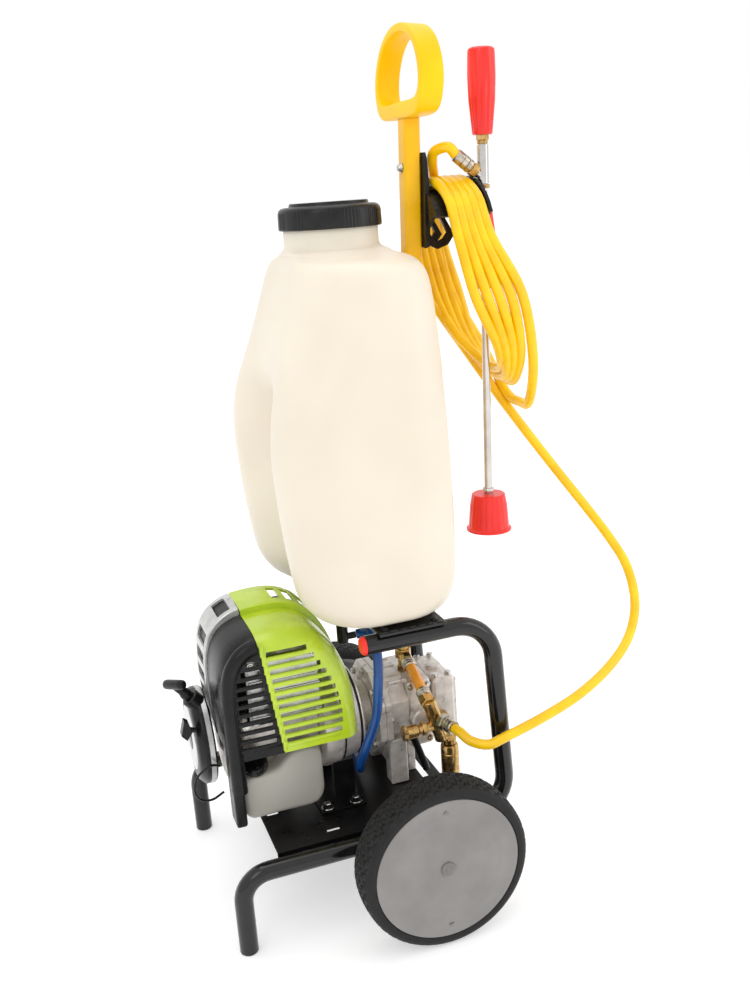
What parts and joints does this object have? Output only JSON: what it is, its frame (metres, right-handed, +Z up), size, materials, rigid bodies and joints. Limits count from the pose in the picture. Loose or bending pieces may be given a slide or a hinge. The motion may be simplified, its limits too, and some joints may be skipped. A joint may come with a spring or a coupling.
{
  "type": "wheeled petrol sprayer cart",
  "caption": "Wheeled sprayer cart: tube frame, tall tank, small petrol engine with pump, mast with D-handle, spray gun and a hose coiled on a hanger.",
  "frame": {"origin": "on the floor, under the middle of the cart without its hoses", "axes": "+X towards the wheels and the mast, +Y to the far side, +Z up; the engine and the feet are at -X"},
  "size_m": [0.6068, 0.4522, 1.003],
  "materials": {
    "frame_black": "gloss black enamel",
    "axle_zinc": "zinc plated",
    "foot_black": "matt",
    "tyre_black": "matt",
    "disc_grey": "gloss",
    "red_plastic": "satin",
    "tank_white": "satin translucent",
    "lid_black": "satin",
    "black_plastic": "satin",
    "yellow_paint": "gloss",
    "yellow_plastic": "satin",
    "cover_green": "gloss",
    "shroud_silver": "satin",
    "cast_alloy": "cast",
    "fuel_plastic": "translucent",
    "brass": "satin",
    "hose_yellow": "satin",
    "hose_blue": "satin"
  },
  "bodies": {
    "cart": {"side_frame_near": "frame_black", "side_frame_far": "frame_black", "deck_plate": "frame_black", "tank_cradle": "frame_black", "engine_bracket": "frame_black", "stop_wire": "frame_black", "axle": "axle_zinc", "axle_spacer_near": "axle_zinc", "axle_spacer_far": "axle_zinc", "handle_bolt": "axle_zinc", "outlet_fitting": "axle_zinc", "foot_plug_near": "foot_black", "foot_plug_far": "foot_black", "rail_plug_near": "red_plastic", "rail_plug_far": "red_plastic", "fore_grip": "red_plastic", "nozzle_cup": "red_plastic", "tank": "tank_white", "tank_outlet": "black_plastic", "hose_hanger": "black_plastic", "spark_plug": "black_plastic", "air_filter": "black_plastic", "cover_front": "black_plastic", "mast": "yellow_paint", "d_handle": "yellow_plastic", "cover_rear": "cover_green", "top_shroud": "shroud_silver", "recoil_housing": "shroud_silver", "muffler": "shroud_silver", "crankcase": "cast_alloy", "cylinder": "cast_alloy", "clutch_housing": "cast_alloy", "gearbox": "cast_alloy", "pump_body": "cast_alloy", "pump_head": "cast_alloy", "fuel_tank": "fuel_plastic", "bypass_elbow": "brass", "manifold": "brass", "strainer_bowl": "brass", "gun_lance": "brass", "bypass_hose": "hose_yellow", "hose_run": "hose_yellow", "hose_coil": "hose_yellow", "intake_hose": "hose_blue"},
    "wheel_body_near": {"tyre_near": "tyre_black", "wheel_near": "disc_grey", "hub_cap_near": "axle_zinc"},
    "wheel_body_far": {"tyre_far": "tyre_black", "wheel_far": "disc_grey", "hub_cap_far": "axle_zinc"},
    "lid": {"tank_lid": "lid_black"},
    "strainer": {"strainer_basket": "black_plastic"},
    "filler_cap": {"fuel_cap": "black_plastic"},
    "starter_grip": {"recoil_grip": "black_plastic"},
    "rotor": {"flywheel": "cast_alloy"},
    "throttle": {"choke_lever": "black_plastic"},
    "pressure_knob": {"relief_knob": "brass"},
    "gun_grip": {"twist_grip": "red_plastic"}
  },
  "joints": [
    {"name": "near_wheel_spin", "type": "hinge", "parent": "cart", "child": "wheel_body_near", "pos_m": [0.031, -0.2035, 0.1], "axis": [0, 1, 0], "continuous": true},
    {"name": "far_wheel_spin", "type": "hinge", "parent": "cart", "child": "wheel_body_far", "pos_m": [0.031, 0.2035, 0.1], "axis": [0, 1, 0], "continuous": true},
    {"name": "lid_lift", "type": "slide", "parent": "cart", "child": "lid", "axis": [0, 0, 1], "range_m": [0, 0.12]},
    {"name": "strainer_lift", "type": "slide", "parent": "cart", "child": "strainer", "axis": [0, 0, 1], "range_m": [0, 0.06]},
    {"name": "filler_cap_turn", "type": "hinge", "parent": "cart", "child": "filler_cap", "pos_m": [-0.14196, -0.06423, 0.18999], "axis": [-0.1796, -0.4988, 0.8479], "continuous": true},
    {"name": "starter_pull", "type": "slide", "parent": "cart", "child": "starter_grip", "axis": [-0.6222, 0, 0.7828], "range_m": [0, 0.12], "stiffness_N_per_m": 40},
    {"name": "rotor_spin", "type": "hinge", "parent": "cart", "child": "rotor", "pos_m": [-0.157, 0, 0.203], "axis": [1, 0, 0], "continuous": true},
    {"name": "throttle_turn", "type": "hinge", "parent": "cart", "child": "throttle", "pos_m": [-0.209, -0.046, 0.245], "axis": [0.9382, 0, -0.3461], "range_deg": [-25, 25]},
    {"name": "pressure_turn", "type": "hinge", "parent": "cart", "child": "pressure_knob", "pos_m": [0.045, -0.089, 0.2], "axis": [1, 0, 0], "continuous": true},
    {"name": "gun_grip_turn", "type": "hinge", "parent": "cart", "child": "gun_grip", "pos_m": [0.2044, -0.02, 0.975], "axis": [-0.0219, 0, -0.9998], "range_deg": [-90, 90]}
  ],
  "couplings": [
    {"joint": "lid_lift", "follows": "strainer_lift", "ratio": 2}
  ]
}
